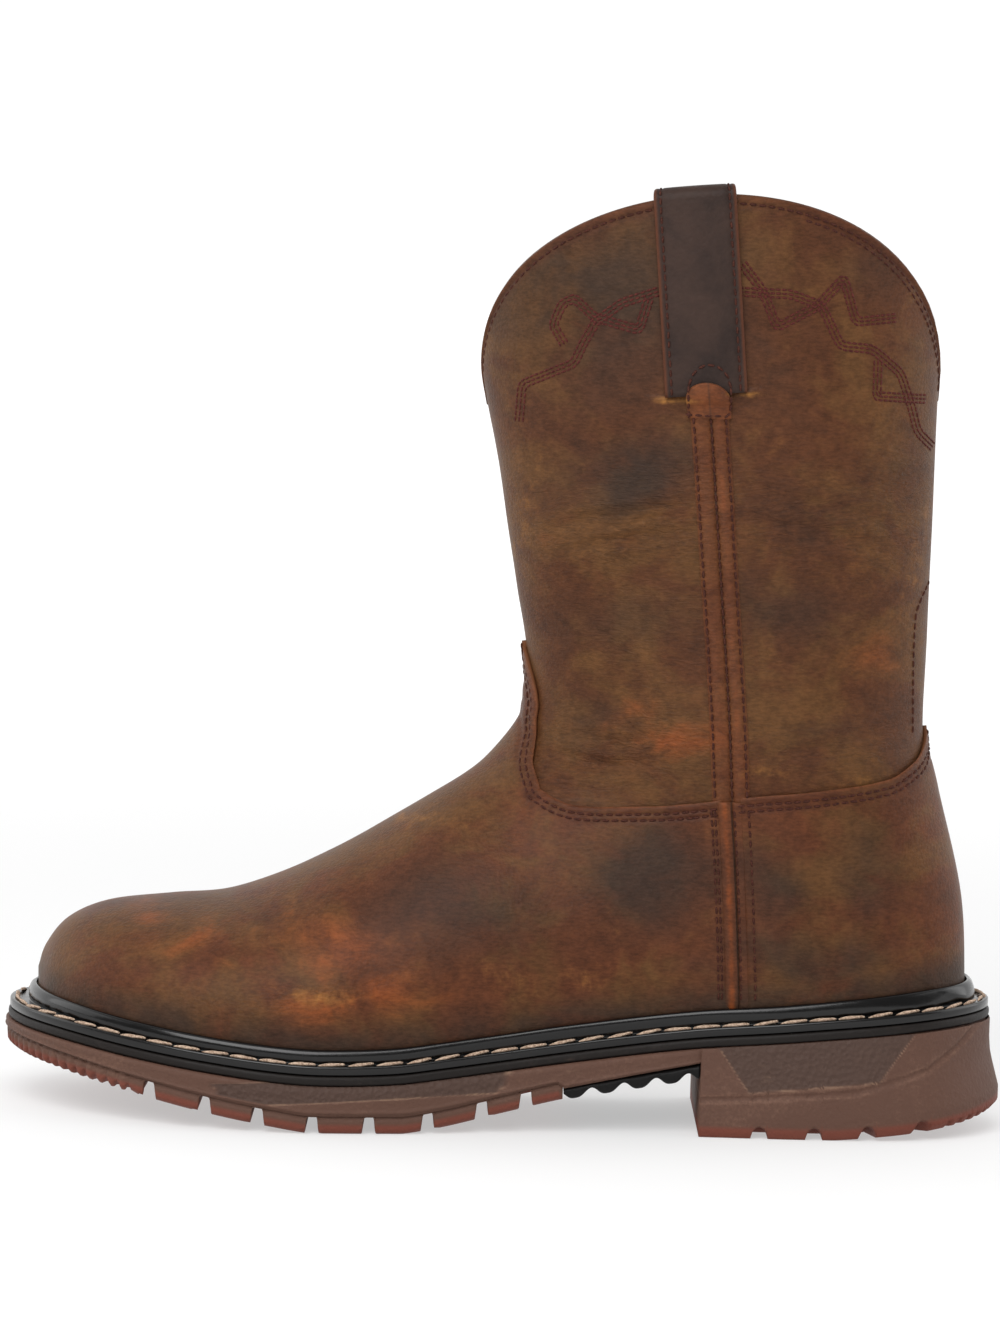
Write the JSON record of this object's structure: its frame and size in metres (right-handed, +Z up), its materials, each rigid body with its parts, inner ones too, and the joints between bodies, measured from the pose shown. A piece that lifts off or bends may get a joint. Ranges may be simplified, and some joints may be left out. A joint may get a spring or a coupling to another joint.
{
  "type": "roper boot",
  "caption": "Left pull-on roper boot in oiled brown leather: round toe, tongued vamp, heel counter, dipped collar with pull straps, stitched welt and lugged rubber sole with a low heel.",
  "frame": {"origin": "centre of the boot's box, on the floor it stands on", "axes": "+Z up, -X towards the toe, -Y towards the outer side of the left foot"},
  "size_m": [0.3156, 0.1137, 0.2944],
  "materials": {
    "outsole_rubber": "matte brown moulded rubber",
    "shank_rubber": "matte black moulded rubber",
    "welt_rubber": "semi-gloss black",
    "insole_leather": "matte tan",
    "shaft_leather": "oiled, mottled dark brown",
    "vamp_leather": "oiled, mottled brown, satin",
    "seam_leather": "oiled brown",
    "strap_leather": "matte dark brown",
    "lining": "matte tan lining",
    "thread": "dark red-brown thread",
    "welt_thread": "tan waxed thread"
  },
  "bodies": {
    "root": {"outsole": "outsole_rubber", "shank_plate": "shank_rubber", "midsole": "welt_rubber", "welt": "welt_rubber", "insole": "insole_leather", "upper": "shaft_leather", "vamp": "vamp_leather", "counter": "vamp_leather", "side_seam_outer": "seam_leather", "side_seam_inner": "seam_leather", "pull_strap_outer": "strap_leather", "pull_strap_inner": "strap_leather"}
  },
  "joints": []
}
